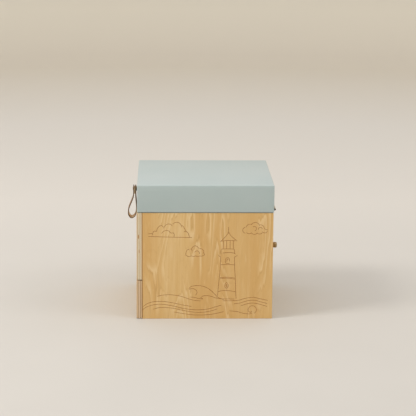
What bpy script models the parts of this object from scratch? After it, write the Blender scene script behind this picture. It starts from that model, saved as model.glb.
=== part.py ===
"""A wooden toy box: a plywood body with a drawer in its foot, a deep painted lid on two brass
hinges, a leather loop that lifts the lid, and a small brass knob on the back.

X runs from the front (-) to the back (+), Y from the engraved side (-) to the plain side (+), and
Z up. The origin is on the underside of the bottom panel, at the centre of the body.
"""

import math

import bmesh
import bpy
from mathutils import Matrix, Vector

GAP = 0.0003  # between two pieces that touch
BEYOND = 0.003  # that a cutter runs past what it cuts

# Body
DEPTH = 0.300  # front face to back face
WIDTH = 0.300  # outside of one side panel to outside of the other
BODY_TOP = 0.240
BOARD = 0.012  # plywood of the body and of the lid
EASE = 0.0008  # rounding of a board's edges
FRONT = -DEPTH / 2
BACK = DEPTH / 2
SIDE = WIDTH / 2
CARCASS_FRONT = FRONT + BOARD  # plane where the front boards meet the side panels
INSIDE_BACK = BACK - BOARD
INSIDE_SIDE = SIDE - BOARD

# Drawer, and the floor of the compartment above it
DRAWER_TOP = 0.087  # top edge of the drawer's front
SEAM = 0.002  # between the drawer's front and the fixed front above it
THIN_BOARD = 0.009
UPPER_FRONT_BOTTOM = DRAWER_TOP + SEAM
DRAWER_PROUD = 0.0004  # the drawer's front stands this far out
FLOOR_CLEARANCE = 0.001  # under the drawer's front
DRAWER_SIDE_TOP = 0.082
DRAWER_PLAY = 0.0015  # between the drawer's sides and the side panels
DRAWER_LENGTH = 0.265
DRAWER_BOTTOM = 0.004  # thickness of the sheet in its grooves
GROOVE_HEIGHT = 0.003  # from the underside of the drawer's sides up to the groove
GROOVE_DEPTH = 0.004
NOTCH_RADIUS = 0.016  # half-round finger notch in the drawer's front

# Lid
LID_BOTTOM = 0.2413
LID_TOP = 0.3015
LID_FRONT = FRONT + 0.001
LID_BACK = BACK + 0.0013
LID_SIDE = SIDE + 0.0008
LID_EASE = 0.001
BUMPER_RADIUS = 0.004
BUMPER_Y = 0.110

# Hinges: three knuckles, of which the lid's leaf has the middle one
HINGE_X = BACK + 0.0047
HINGE_Z = 0.2407
HINGE_Y = 0.096  # centre of each hinge from the middle of the box
HINGE_WIDTH = 0.040
LEAF = 0.0011  # thickness
LEAF_END = 0.0128  # from the axis to the far edge of a leaf
LEAF_START = 0.0027  # from the axis to a leaf's edge beside the other leaf's knuckles
BARREL_RADIUS = 0.0024
PIN_RADIUS = 0.0011
MIDDLE_KNUCKLE = 0.014
SCREW_SPREAD = 0.012  # of a leaf's two screws from its centre
SCREW_HEIGHT = 0.0083  # from the axis to the screws
SCREW_RADIUS = 0.0013
SCREW_LENGTH = 0.009
SCREW_HEAD = 0.0026

# Leather loop
STRAP = 0.0021  # thickness
STRAP_WIDTH = 0.028
LOOP_SCREW_Z = 0.2640
STRAP_END = 0.2725  # top of both ends
FILLER_BOTTOM = 0.2545
INNER_LEG_X = LID_FRONT - 0.0052  # middle of the leather
OUTER_LEG_X = LID_FRONT - 0.0096
LOOP_SCREW_RADIUS = 0.002
WASHER_RADIUS = 0.0055
NUT_RADIUS = 0.0046  # across its corners
NUT_THICKNESS = 0.0022

# Knob on the back
KNOB_Z = 0.1322
KNOB_LENGTH = 0.0192
KNOB_RADIUS = 0.0065
KNOB_SCREW_RADIUS = 0.0016
KNOB_SCREW_LENGTH = 0.020

# Dowels
DOWEL_RADIUS = 0.003
DRAWER_DOWEL_RADIUS = 0.0023
HOLE_ROOM = 0.0004  # a hole is this much wider and deeper than its dowel
DOWEL_LENGTH = 0.022
DOWEL_SHIFT = 0.003  # of its middle from the joint, into the board that it enters end on

BIRCH = ("birch", (0.63, 0.40, 0.19), 0.55, 0.0)
DRAWER_BIRCH = ("drawer_birch", (0.70, 0.50, 0.28), 0.6, 0.0)
DOWEL_WOOD = ("dowel_beech", (0.62, 0.38, 0.20), 0.6, 0.0)
PAINT = ("sage_paint", (0.42, 0.50, 0.46), 0.45, 0.0)
BRASS = ("antique_brass", (0.38, 0.26, 0.12), 0.35, 1.0)
LEATHER = ("leather", (0.25, 0.14, 0.06), 0.6, 0.0)
RAW_LEATHER = ("raw_leather", (0.45, 0.30, 0.16), 0.8, 0.0)
RUBBER = ("bumper_rubber", (0.55, 0.55, 0.52), 0.5, 0.0)


def clear_scene():
    for item in list(bpy.data.objects):
        bpy.data.objects.remove(item, do_unlink=True)


def material(finish):
    """The Principled material of a finish, made once."""
    name, colour, roughness, metallic = finish
    made = bpy.data.materials.get(name)
    if made is None:
        made = bpy.data.materials.new(name)
        made.use_nodes = True
        shader = made.node_tree.nodes["Principled BSDF"]
        shader.inputs["Base Color"].default_value = (*colour, 1.0)
        shader.inputs["Roughness"].default_value = roughness
        shader.inputs["Metallic"].default_value = metallic
    return made


def add_object(name, shape, finish=None):
    """Makes an object of a bmesh. One with no finish is a cutter, which isn't part of the box."""
    bmesh.ops.recalc_face_normals(shape, faces=shape.faces)
    mesh = bpy.data.meshes.new(name)
    shape.to_mesh(mesh)
    shape.free()
    piece = bpy.data.objects.new(name, mesh)
    bpy.context.scene.collection.objects.link(piece)
    if finish is None:
        piece.hide_render = True
        piece.display_type = "WIRE"
    else:
        mesh.materials.append(material(finish))
    return piece


def modify(piece, kind, other, operation):
    """Adds a Boolean of another object."""
    change = piece.modifiers.new(kind, "BOOLEAN")
    change.operation = operation
    change.solver = "EXACT"
    change.object = other


def ease_edges(piece, width):
    bevel = piece.modifiers.new("eased_edges", "BEVEL")
    bevel.width = width
    bevel.segments = 2
    bevel.limit_method = "ANGLE"
    bevel.angle_limit = math.radians(40)


def box(name, low, high, finish=None):
    """A plain box between two corners, with its origin at its centre."""
    low, high = Vector(low), Vector(high)
    shape = bmesh.new()
    bmesh.ops.create_cube(shape, size=1.0)
    bmesh.ops.scale(shape, vec=high - low, verts=shape.verts)
    piece = add_object(name, shape, finish)
    piece.location = (low + high) / 2
    return piece


def board(name, low, high, finish, ease=EASE):
    """A board between two corners, with eased edges."""
    piece = box(name, low, high, finish)
    ease_edges(piece, ease)
    return piece


def prism(name, outline, start_y, end_y, finish=None):
    """An outline of (x, z) points, extruded along Y."""
    shape = bmesh.new()
    corners = [shape.verts.new((x, start_y, z)) for x, z in outline]
    face = shape.faces.new(corners)
    grown = bmesh.ops.extrude_face_region(shape, geom=[face])
    moved = [item for item in grown["geom"] if isinstance(item, bmesh.types.BMVert)]
    bmesh.ops.translate(shape, vec=(0, end_y - start_y, 0), verts=moved)
    return add_object(name, shape, finish)


def aim(piece, start, direction):
    """Places a piece made along its own +Z so that it starts at a point and runs along a direction."""
    turn = Vector((0, 0, 1)).rotation_difference(Vector(direction))
    piece.rotation_mode = "QUATERNION"
    piece.rotation_quaternion = turn
    piece.location = start


def rod(name, start, end, radius, finish=None, sides=12):
    """A cylinder from one point to another."""
    start, end = Vector(start), Vector(end)
    length = (end - start).length
    shape = bmesh.new()
    bmesh.ops.create_cone(
        shape, cap_ends=True, segments=sides, radius1=radius, radius2=radius, depth=length,
        matrix=Matrix.Translation((0, 0, length / 2)),
    )
    piece = add_object(name, shape, finish)
    aim(piece, start, end - start)
    return piece


def turned(name, profile, start, direction, finish, sides=16):
    """A profile of (height, radius) points turned about its axis. Its two ends are on the axis."""
    shape = bmesh.new()
    points = [shape.verts.new((radius, 0, height)) for height, radius in profile]
    edges = [shape.edges.new(pair) for pair in zip(points, points[1:])]
    bmesh.ops.spin(
        shape, geom=points + edges, cent=(0, 0, 0), axis=(0, 0, 1), angle=math.tau, steps=sides,
    )
    bmesh.ops.remove_doubles(shape, verts=shape.verts, dist=0.00001)
    piece = add_object(name, shape, finish)
    aim(piece, start, direction)
    piece.data.shade_smooth()
    piece.data.set_sharp_from_angle(angle=math.radians(40))
    return piece


def bore(name, start, end, radius, pieces, sides=12):
    """Bores a round hole through pieces."""
    cutter = rod("cut_" + name, start, end, radius, sides=sides)
    for piece in pieces:
        modify(piece, "hole_" + name, cutter, "DIFFERENCE")


def dowel(name, centre, axis, radius, joined):
    """A dowel across the joint between two boards, in a hole with a little room around it."""
    centre, half = Vector(centre), Vector(axis) * DOWEL_LENGTH / 2
    room = Vector(axis) * HOLE_ROOM
    bore(name, centre - half - room, centre + half + room, radius + HOLE_ROOM, joined)
    return rod(name, centre - half, centre + half, radius, DOWEL_WOOD)


def pivot(name, location, pieces):
    """Hangs pieces on an empty at a joint's axis, where they are."""
    empty = bpy.data.objects.new(name, None)
    empty.location = location
    bpy.context.scene.collection.objects.link(empty)
    for piece in pieces:
        piece.parent = empty
        piece.matrix_parent_inverse = Matrix.Translation(-Vector(location))
    return empty


def spline(points, steps):
    """A smooth curve (Catmull-Rom) through points in a plane."""
    knots = [Vector(point) for point in points]
    knots = [2 * knots[0] - knots[1]] + knots + [2 * knots[-1] - knots[-2]]
    curve = []
    for a, b, c, d in zip(knots, knots[1:], knots[2:], knots[3:]):
        for step in range(steps):
            t = step / steps
            curve.append(0.5 * (2 * b + (c - a) * t + (2 * a - 5 * b + 4 * c - d) * t ** 2
                                + (3 * b - a - 3 * c + d) * t ** 3))
    curve.append(knots[-2])
    return curve


def make_body():
    """The six fixed boards, by name."""
    parts = {}
    for name, sign in (("side_panel_engraved", -1), ("side_panel_plain", 1)):
        near, far = sorted((sign * INSIDE_SIDE, sign * SIDE))
        parts[name] = board(
            name, (CARCASS_FRONT + GAP, near, 0), (BACK, far, BODY_TOP), BIRCH)
    inside = INSIDE_SIDE - GAP
    parts["back_panel"] = board(
        "back_panel", (INSIDE_BACK, -inside, 0), (BACK, inside, BODY_TOP), BIRCH)
    parts["upper_front_panel"] = board(
        "upper_front_panel", (FRONT, -SIDE, UPPER_FRONT_BOTTOM), (CARCASS_FRONT, SIDE, BODY_TOP), BIRCH)
    parts["bottom_panel"] = board(
        "bottom_panel", (CARCASS_FRONT + GAP, -inside, 0), (INSIDE_BACK - GAP, inside, BOARD), BIRCH)
    parts["compartment_floor"] = board(
        "compartment_floor", (CARCASS_FRONT + GAP, -inside, UPPER_FRONT_BOTTOM + GAP),
        (INSIDE_BACK - GAP, inside, UPPER_FRONT_BOTTOM + GAP + THIN_BOARD), BIRCH)
    return parts


def dowel_body(parts):
    """Hidden dowels: two at each joint between a side panel and a board that meets it."""
    floor_z = UPPER_FRONT_BOTTOM + GAP + THIN_BOARD / 2
    along_y = {
        "back_panel": [(BACK - BOARD / 2, z) for z in (0.050, 0.190)],
        "bottom_panel": [(x, BOARD / 2) for x in (-0.090, 0.090)],
        "compartment_floor": [(x, floor_z) for x in (-0.090, 0.090)],
    }
    for side_name, sign in (("side_panel_engraved", -1), ("side_panel_plain", 1)):
        side = parts[side_name]
        end = side_name.rsplit("_", 1)[1]
        for z, level in ((0.120, "low"), (0.205, "high")):
            dowel(f"dowel_front_{end}_{level}", (CARCASS_FRONT + DOWEL_SHIFT, sign * (SIDE - BOARD / 2), z),
                  (1, 0, 0), DOWEL_RADIUS, (side, parts["upper_front_panel"]))
        for name, places in along_y.items():
            for number, (x, z) in enumerate(places, 1):
                short_name = name.split("_")[0]
                dowel(f"dowel_{short_name}_{end}_{number}", (x, sign * (INSIDE_SIDE - DOWEL_SHIFT), z),
                      (0, 1, 0), DOWEL_RADIUS, (side, parts[name]))


def make_drawer():
    """The drawer, hung on an empty at its front: it slides towards -X."""
    front_back = CARCASS_FRONT - DRAWER_PROUD
    outer = INSIDE_SIDE - DRAWER_PLAY
    inner = outer - THIN_BOARD
    low = BOARD + GAP
    start = front_back + GAP
    end = start + DRAWER_LENGTH
    front = board("drawer_front", (front_back - BOARD, -SIDE, FLOOR_CLEARANCE),
                  (front_back, SIDE, DRAWER_TOP), DRAWER_BIRCH)
    bore("notch", (front_back - 2 * BOARD, 0, DRAWER_TOP), (front_back + BOARD, 0, DRAWER_TOP),
         NOTCH_RADIUS, (front,), sides=48)
    sides = []
    pins = []
    for end_name, sign in (("engraved", -1), ("plain", 1)):
        near, far = sorted((sign * inner, sign * outer))
        side = board(f"drawer_side_{end_name}", (start, near, low), (end, far, DRAWER_SIDE_TOP),
                     DRAWER_BIRCH)
        sides.append(side)
        for z, level in ((0.030, "low"), (0.066, "high")):
            middle = (front_back + DOWEL_SHIFT, sign * (inner + outer) / 2, z)
            pins.append(dowel(f"dowel_drawer_{end_name}_{level}", middle, (1, 0, 0), DRAWER_DOWEL_RADIUS,
                              (front, side)))
    back = board("drawer_back", (end - THIN_BOARD, -inner + GAP, low), (end, inner - GAP, DRAWER_SIDE_TOP),
                 DRAWER_BIRCH)
    sheet_z = low + GROOVE_HEIGHT
    reach = inner + GROOVE_DEPTH
    sheet_end = end - THIN_BOARD + GROOVE_DEPTH
    groove = box("cut_groove", (start - GROOVE_DEPTH - GAP, -reach - GAP, sheet_z - GAP),
                 (sheet_end + GAP, reach + GAP, sheet_z + DRAWER_BOTTOM + GAP))
    for piece in (front, back, *sides):
        modify(piece, "groove", groove, "DIFFERENCE")
    bottom = box("drawer_bottom", (start - GROOVE_DEPTH, -reach, sheet_z),
                 (sheet_end, reach, sheet_z + DRAWER_BOTTOM), DRAWER_BIRCH)
    pivot("drawer_slide", (front_back, 0, 0), [front, back, bottom, *sides, *pins])


def make_lid():
    """The five boards of the lid, and the two bumpers on the body that it rests on."""
    under = LID_TOP - BOARD - GAP
    parts = {"lid_top": board("lid_top", (LID_FRONT, -LID_SIDE, LID_TOP - BOARD),
                              (LID_BACK, LID_SIDE, LID_TOP), PAINT, LID_EASE)}
    for name, x in (("lid_front_rail", LID_FRONT), ("lid_back_rail", LID_BACK - BOARD)):
        parts[name] = board(name, (x, -LID_SIDE, LID_BOTTOM), (x + BOARD, LID_SIDE, under), PAINT, LID_EASE)
    for name, sign in (("lid_side_rail_engraved", -1), ("lid_side_rail_plain", 1)):
        near, far = sorted((sign * (LID_SIDE - BOARD), sign * LID_SIDE))
        parts[name] = board(name, (LID_FRONT + BOARD + GAP, near, LID_BOTTOM),
                            (LID_BACK - BOARD - GAP, far, under), PAINT, LID_EASE)
    for name, sign in (("lid_bumper_engraved", -1), ("lid_bumper_plain", 1)):
        height = LID_BOTTOM - BODY_TOP - 2 * GAP
        dome = [(0, 0), (0, BUMPER_RADIUS), (height * 0.6, BUMPER_RADIUS),
                (height, BUMPER_RADIUS * 0.7), (height, 0)]
        turned(name, dome, (FRONT + BOARD / 2, sign * BUMPER_Y, BODY_TOP + GAP), (0, 0, 1), RUBBER)
    return parts


def hinge_screw(name, start, direction, pieces):
    """A round-headed screw that goes through a leaf into its board, and its hole."""
    profile = [(-0.0010, 0), (-0.0008, SCREW_HEAD * 0.6), (-0.0002, SCREW_HEAD), (0, SCREW_HEAD),
               (0, SCREW_RADIUS), (SCREW_LENGTH - 0.002, SCREW_RADIUS), (SCREW_LENGTH, 0)]
    start, direction = Vector(start), Vector(direction)
    bore(name, start - direction * BEYOND, start + direction * (SCREW_LENGTH + HOLE_ROOM),
         SCREW_RADIUS + HOLE_ROOM, pieces)
    return turned(name, profile, start, direction, BRASS, sides=12)


def make_leaf(name, centre_y, plate_x, upward, knuckles, web):
    """A hinge leaf: its plate, its knuckles and the web that joins them, with the pin's bore."""
    half = HINGE_WIDTH / 2
    low, high = sorted((HINGE_Z + upward * LEAF_START, HINGE_Z + upward * LEAF_END))
    leaf = box(name, (plate_x, centre_y - half, low), (plate_x + LEAF, centre_y + half, high), BRASS)
    for number, (start, end) in enumerate(knuckles):
        start, end = centre_y + start, centre_y + end
        barrel = rod(f"join_{name}_{number}", (HINGE_X, start, HINGE_Z), (HINGE_X, end, HINGE_Z),
                     BARREL_RADIUS, sides=20)
        link = prism(f"link_{name}_{number}", web, start, end)
        for added in (link, barrel):
            modify(leaf, "knuckle", added, "UNION")
    reach = half + BEYOND
    bore(name + "_pin", (HINGE_X, centre_y - reach, HINGE_Z), (HINGE_X, centre_y + reach, HINGE_Z),
         PIN_RADIUS + GAP, (leaf,), sides=16)
    return leaf


def make_hinges(body_parts, lid_parts):
    """Two hinges on the outside of the back. Returns what moves with the lid."""
    half, middle = HINGE_WIDTH / 2, MIDDLE_KNUCKLE / 2
    body_plate, lid_plate = BACK + GAP, LID_BACK + GAP
    step = LEAF_START - 0.0015
    body_web = [(body_plate, HINGE_Z - LEAF_START - LEAF), (body_plate + LEAF, HINGE_Z - LEAF_START - LEAF),
                (HINGE_X, HINGE_Z - step - LEAF), (HINGE_X, HINGE_Z - step), (body_plate, HINGE_Z - step)]
    lid_web = [(lid_plate, HINGE_Z + LEAF_START + LEAF), (lid_plate, HINGE_Z + LEAF),
               (HINGE_X, HINGE_Z + LEAF), (lid_plate + LEAF, HINGE_Z + LEAF_START + LEAF)]
    moving = []
    for place, sign in (("engraved", -1), ("plain", 1)):
        centre = sign * HINGE_Y
        body_leaf = make_leaf(f"hinge_body_leaf_{place}", centre, body_plate, -1,
                              [(-half, -middle - GAP), (middle + GAP, half)], body_web)
        lid_leaf = make_leaf(f"hinge_lid_leaf_{place}", centre, lid_plate, 1, [(-middle, middle)], lid_web)
        rod(f"hinge_pin_{place}", (HINGE_X, centre - half - 0.0006, HINGE_Z),
            (HINGE_X, centre + half + 0.0006, HINGE_Z), PIN_RADIUS, BRASS, sides=16)
        moving.append(lid_leaf)
        for number, spread in ((1, -SCREW_SPREAD), (2, SCREW_SPREAD)):
            hinge_screw(f"hinge_body_screw_{place}_{number}",
                        (body_plate + LEAF + GAP, centre + spread, HINGE_Z - SCREW_HEIGHT), (-1, 0, 0),
                        (body_leaf, body_parts["back_panel"]))
            moving.append(hinge_screw(f"hinge_lid_screw_{place}_{number}",
                                      (lid_plate + LEAF + GAP, centre + spread, HINGE_Z + SCREW_HEIGHT),
                                      (-1, 0, 0), (lid_leaf, lid_parts["lid_back_rail"])))
    return moving


def strap_outline():
    """The leather's own thickness along the loop, from the end by the lid round to the outer end."""
    inner, outer = INNER_LEG_X, OUTER_LEG_X
    route = [
        (inner, STRAP_END), (inner, LOOP_SCREW_Z), (inner, 0.2540), (inner + 0.0003, 0.2456),
        (inner + 0.0009, 0.2388), (inner + 0.0016, 0.2306), (inner + 0.0021, 0.2230),
        (inner + 0.0018, 0.2160), (inner + 0.0008, 0.2100), (inner - 0.0010, 0.2046),
        (inner - 0.0042, 0.2004), (inner - 0.0092, 0.1984), (inner - 0.0135, 0.2010),
        (inner - 0.0160, 0.2060), (outer - 0.0122, 0.2120), (outer - 0.0112, 0.2195),
        (outer - 0.0082, 0.2280), (outer - 0.0048, 0.2360), (outer - 0.0018, 0.2442),
        (outer - 0.0002, 0.2520), (outer, LOOP_SCREW_Z), (outer, STRAP_END),
    ]
    middle = spline(route, 3)
    left, right = [], []
    for number, point in enumerate(middle):
        ahead = middle[min(number + 1, len(middle) - 1)] - middle[max(number - 1, 0)]
        across = Vector((ahead.y, -ahead.x)).normalized() * STRAP / 2
        left.append(point + across)
        right.append(point - across)
    return [tuple(point) for point in left + right[::-1]]


def make_loop(lid_parts):
    """The leather loop on the lid's front, with the screw, washer and nut that hold it."""
    half = STRAP_WIDTH / 2
    loop = prism("leather_loop", strap_outline(), -half, half, LEATHER)
    filler = box("loop_filler", (OUTER_LEG_X + STRAP / 2 + GAP, -half, FILLER_BOTTOM),
                 (INNER_LEG_X - STRAP / 2 - GAP, half, STRAP_END - GAP), RAW_LEATHER)
    washer = rod("loop_washer", (LID_FRONT - GAP, 0, LOOP_SCREW_Z),
                 (INNER_LEG_X + STRAP / 2 + GAP, 0, LOOP_SCREW_Z), WASHER_RADIUS, BRASS, sides=24)
    nut_start = LID_FRONT + BOARD + GAP
    nut_end = nut_start + NUT_THICKNESS
    nut = rod("loop_nut", (nut_start, 0, LOOP_SCREW_Z), (nut_end, 0, LOOP_SCREW_Z), NUT_RADIUS, BRASS,
              sides=6)
    head_face = OUTER_LEG_X - STRAP / 2 - GAP
    shank = nut_end - GAP - head_face
    profile = [(-0.0009, 0), (-0.0007, 0.0030), (-0.0002, 0.0044), (0, 0.0045), (0, LOOP_SCREW_RADIUS),
               (shank - 0.0004, LOOP_SCREW_RADIUS), (shank, LOOP_SCREW_RADIUS * 0.8), (shank, 0)]
    screw = turned("loop_screw", profile, (head_face, 0, LOOP_SCREW_Z), (1, 0, 0), BRASS, sides=20)
    bore("loop_screw", (head_face - BEYOND, 0, LOOP_SCREW_Z), (nut_end + BEYOND, 0, LOOP_SCREW_Z),
         LOOP_SCREW_RADIUS + HOLE_ROOM, (loop, filler, washer, nut, lid_parts["lid_front_rail"]), sides=20)
    pivot("loop_swivel", (LID_FRONT, 0, LOOP_SCREW_Z), [loop, filler])
    return [washer, nut, screw]


def make_knob(back_panel):
    """The turned brass knob in the middle of the back, and the screw that holds it from inside."""
    radius, length = KNOB_RADIUS, KNOB_LENGTH
    profile = [(0, 0), (0, 0.0048), (0.0012, 0.0050), (0.0022, 0.0042), (0.0045, 0.0034), (0.0075, 0.0034),
               (0.0095, 0.0044), (0.0108, radius * 0.93), (0.0122, radius), (0.0160, radius),
               (0.0178, radius * 0.9), (length - 0.0003, radius * 0.6), (length, 0)]
    knob = turned("back_knob", profile, (BACK + GAP, 0, KNOB_Z), (1, 0, 0), BRASS, sides=32)
    start = INSIDE_BACK - GAP
    shank, end = KNOB_SCREW_RADIUS, KNOB_SCREW_LENGTH
    screw_profile = [(-0.0018, 0), (-0.0015, 0.0022), (-0.0006, 0.0036), (0, 0.0038), (0, shank),
                     (end - 0.001, shank), (end, 0)]
    turned("back_knob_screw", screw_profile, (start, 0, KNOB_Z), (1, 0, 0), BRASS, sides=16)
    bore("knob", (start - BEYOND, 0, KNOB_Z), (start + end + 2 * GAP, 0, KNOB_Z), shank + HOLE_ROOM,
         (back_panel, knob), sides=16)


def main():
    clear_scene()
    body_parts = make_body()
    dowel_body(body_parts)
    make_drawer()
    lid_parts = make_lid()
    moving = make_hinges(body_parts, lid_parts)
    moving += make_loop(lid_parts)
    pivot("lid_hinge", (HINGE_X, 0, HINGE_Z), [*lid_parts.values(), *moving, bpy.data.objects["loop_swivel"]])
    make_knob(body_parts["back_panel"])


main()
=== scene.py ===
"""Looks of the wooden toy box: birch plywood with an engraved side, a painted lid, leather and brass.

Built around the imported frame, in metres: X from front (-) to back (+), Y from the engraved side (-) to the
plain side (+), and Z up.
"""

import math

import bmesh
import bpy
from mathutils import Matrix, Vector


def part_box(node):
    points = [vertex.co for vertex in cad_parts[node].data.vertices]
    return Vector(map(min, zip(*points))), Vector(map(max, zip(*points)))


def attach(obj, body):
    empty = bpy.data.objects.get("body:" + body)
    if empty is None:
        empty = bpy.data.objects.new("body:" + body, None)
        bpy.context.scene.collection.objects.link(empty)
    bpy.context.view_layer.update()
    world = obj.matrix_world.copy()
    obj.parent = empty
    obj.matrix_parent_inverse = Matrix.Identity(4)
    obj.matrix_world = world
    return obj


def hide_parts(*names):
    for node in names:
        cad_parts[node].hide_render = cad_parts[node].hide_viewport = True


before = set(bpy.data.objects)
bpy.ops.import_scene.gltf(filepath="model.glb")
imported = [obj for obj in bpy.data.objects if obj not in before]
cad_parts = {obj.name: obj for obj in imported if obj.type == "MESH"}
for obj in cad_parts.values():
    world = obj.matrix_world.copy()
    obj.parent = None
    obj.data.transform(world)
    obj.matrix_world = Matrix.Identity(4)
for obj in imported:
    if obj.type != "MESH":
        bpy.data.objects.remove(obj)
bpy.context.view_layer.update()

MM = 0.001

# Camera
CAMERA_PLACE = Vector((-0.0932, -3.500, 0.9823))
CAMERA_PITCH = math.radians(12.305)  # below the horizon
CAMERA_YAW = math.radians(-1.698)
CAMERA_ROLL = math.radians(0.413)
CAMERA_LENS = 135.85


# ---------------------------------------------------------------- node helpers

class Nodes:
    """A material's node tree, with short calls for the nodes used here."""

    def __init__(self, name):
        self.material = bpy.data.materials.new(name)
        self.material.use_nodes = True
        self.tree = self.material.node_tree
        self.shader = self.tree.nodes["Principled BSDF"]
        self.place = self.add("ShaderNodeTexCoord")

    def add(self, kind, **inputs):
        """Adds a node. An input is a value, or another node's output."""
        node = self.tree.nodes.new(kind)
        for name, value in inputs.items():
            self.put(node.inputs[name.replace("_", " ")], value)
        return node

    def put(self, socket, value):
        if isinstance(value, bpy.types.NodeSocket):
            self.tree.links.new(value, socket)
        else:
            socket.default_value = value

    def calc(self, operation, first, second=0.0, third=0.0, clamp=False):
        node = self.tree.nodes.new("ShaderNodeMath")
        node.operation = operation
        node.use_clamp = clamp
        for socket, value in zip(node.inputs, (first, second, third)):
            self.put(socket, value)
        return node.outputs[0]

    def axes(self):
        """The piece's own x, y and z, in metres."""
        return self.add("ShaderNodeSeparateXYZ", Vector=self.place.outputs["Object"]).outputs

    def vector(self, x, y, z):
        return self.add("ShaderNodeCombineXYZ", X=x, Y=y, Z=z).outputs[0]

    def noise(self, vector, scale=1.0, detail=2.0, roughness=0.5, distortion=0.0):
        return self.add("ShaderNodeTexNoise", Vector=vector, Scale=scale, Detail=detail,
                        Roughness=roughness, Distortion=distortion).outputs[0]

    def ramp(self, value, low, high, start=0.0, end=1.0):
        """A value's stretch from low to high, spread over start to end and held beyond it."""
        node = self.add("ShaderNodeMapRange", Value=value)
        for name, number in (("From Min", low), ("From Max", high), ("To Min", start), ("To Max", end)):
            node.inputs[name].default_value = number
        return node.outputs[0]

    def mix(self, share, first, second, mode="MIX"):
        """A mix of two colours."""
        node = self.tree.nodes.new("ShaderNodeMix")
        node.data_type = "RGBA"
        node.blend_type = mode
        self.put(node.inputs[0], share)
        for socket, value in ((node.inputs[6], first), (node.inputs[7], second)):
            self.put(socket, (*value, 1.0) if isinstance(value, tuple) else value)
        return node.outputs[2]

    def bump(self, height, distance, strength=1.0, below=None):
        node = self.add("ShaderNodeBump", Height=height, Distance=distance, Strength=strength)
        if below is not None:
            self.put(node.inputs["Normal"], below)
        return node.outputs["Normal"]

    def finish(self, colour, roughness, metallic=0.0, normal=None, **constants):
        if isinstance(colour, tuple):
            colour = (*colour, 1.0)
        self.put(self.shader.inputs["Base Color"], colour)
        self.put(self.shader.inputs["Roughness"], roughness)
        self.shader.inputs["Metallic"].default_value = metallic
        if normal is not None:
            self.put(self.shader.inputs["Normal"], normal)
        for name, value in constants.items():
            self.shader.inputs[name.replace("_", " ")].default_value = value
        return self.material


def shade(red, green, blue):
    """A displayed colour (0 to 255) as the linear values that a shader takes."""
    return tuple(((v / 255 + 0.055) / 1.055) ** 2.4 for v in (red, green, blue))


# ---------------------------------------------------------------- materials

VENEER = shade(225, 190, 129)
VENEER_WARM = shade(218, 177, 112)
VENEER_PALE = shade(236, 209, 158)
VENEER_LINE = shade(191, 147, 86)
PLY_PALE = shade(230, 220, 195)
PLY_END = shade(210, 193, 158)
PLY_PALE_WARM = shade(224, 203, 172)
PLY_END_WARM = shade(186, 155, 120)
PLY_GLUE = shade(150, 112, 72)
PLY_SKIN = shade(206, 172, 122)


def veneer_colour(nodes, across, along, shift):
    """Rotary-cut birch: tall pointed flames with one sharp side, along the grain, and fine pores."""
    def stretch(wide, tall, layer):
        return nodes.vector(
            nodes.calc("MULTIPLY", across, wide), nodes.calc("MULTIPLY", along, tall), shift + layer)

    field = nodes.noise(stretch(17.0, 2.8, 0.0), detail=1.0, roughness=0.4)
    jag = nodes.noise(stretch(100.0, 7.0, 11.0), detail=2.0, roughness=0.55)
    field = nodes.calc("MULTIPLY_ADD", jag, 0.10, field)
    rings = nodes.calc("FRACT", nodes.calc("MULTIPLY", field, 17.0))
    flame = nodes.calc("MULTIPLY", nodes.ramp(rings, 0.0, 0.10), nodes.ramp(rings, 0.55, 0.10))
    patch = nodes.noise(stretch(26.0, 7.0, 3.0), detail=2.0)
    tone = nodes.noise(stretch(16.0, 2.2, 7.0), detail=2.0)
    pores = nodes.noise(stretch(900.0, 22.0, 0.0), detail=3.0, roughness=0.65)
    streaks = nodes.noise(stretch(210.0, 6.0, 9.0), detail=3.0, roughness=0.6)
    bands = nodes.noise(stretch(70.0, 3.0, 15.0), detail=2.0)
    rays = nodes.noise(stretch(300.0, 40.0, 5.0), detail=2.0)
    colour = nodes.mix(nodes.ramp(tone, 0.36, 0.62), VENEER, VENEER_WARM)
    colour = nodes.mix(nodes.ramp(bands, 0.46, 0.70, 0.0, 0.30), colour, VENEER_PALE)
    colour = nodes.mix(nodes.ramp(streaks, 0.48, 0.74, 0.0, 0.60), colour, VENEER_WARM)
    pale = nodes.calc("MULTIPLY", flame, nodes.ramp(patch, 0.44, 0.58))
    colour = nodes.mix(nodes.calc("MULTIPLY", pale, 0.80), colour, VENEER_PALE)
    dark = nodes.calc("MULTIPLY", nodes.ramp(rings, 0.86, 1.0), nodes.ramp(patch, 0.40, 0.58, 0.08, 0.42))
    colour = nodes.mix(dark, colour, VENEER_LINE)
    colour = nodes.mix(nodes.ramp(pores, 0.52, 0.80, 0.0, 0.35), colour, VENEER_LINE)
    colour = nodes.mix(nodes.ramp(rays, 0.60, 0.74, 0.0, 0.30), colour, VENEER_PALE)
    return colour, pores


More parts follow.
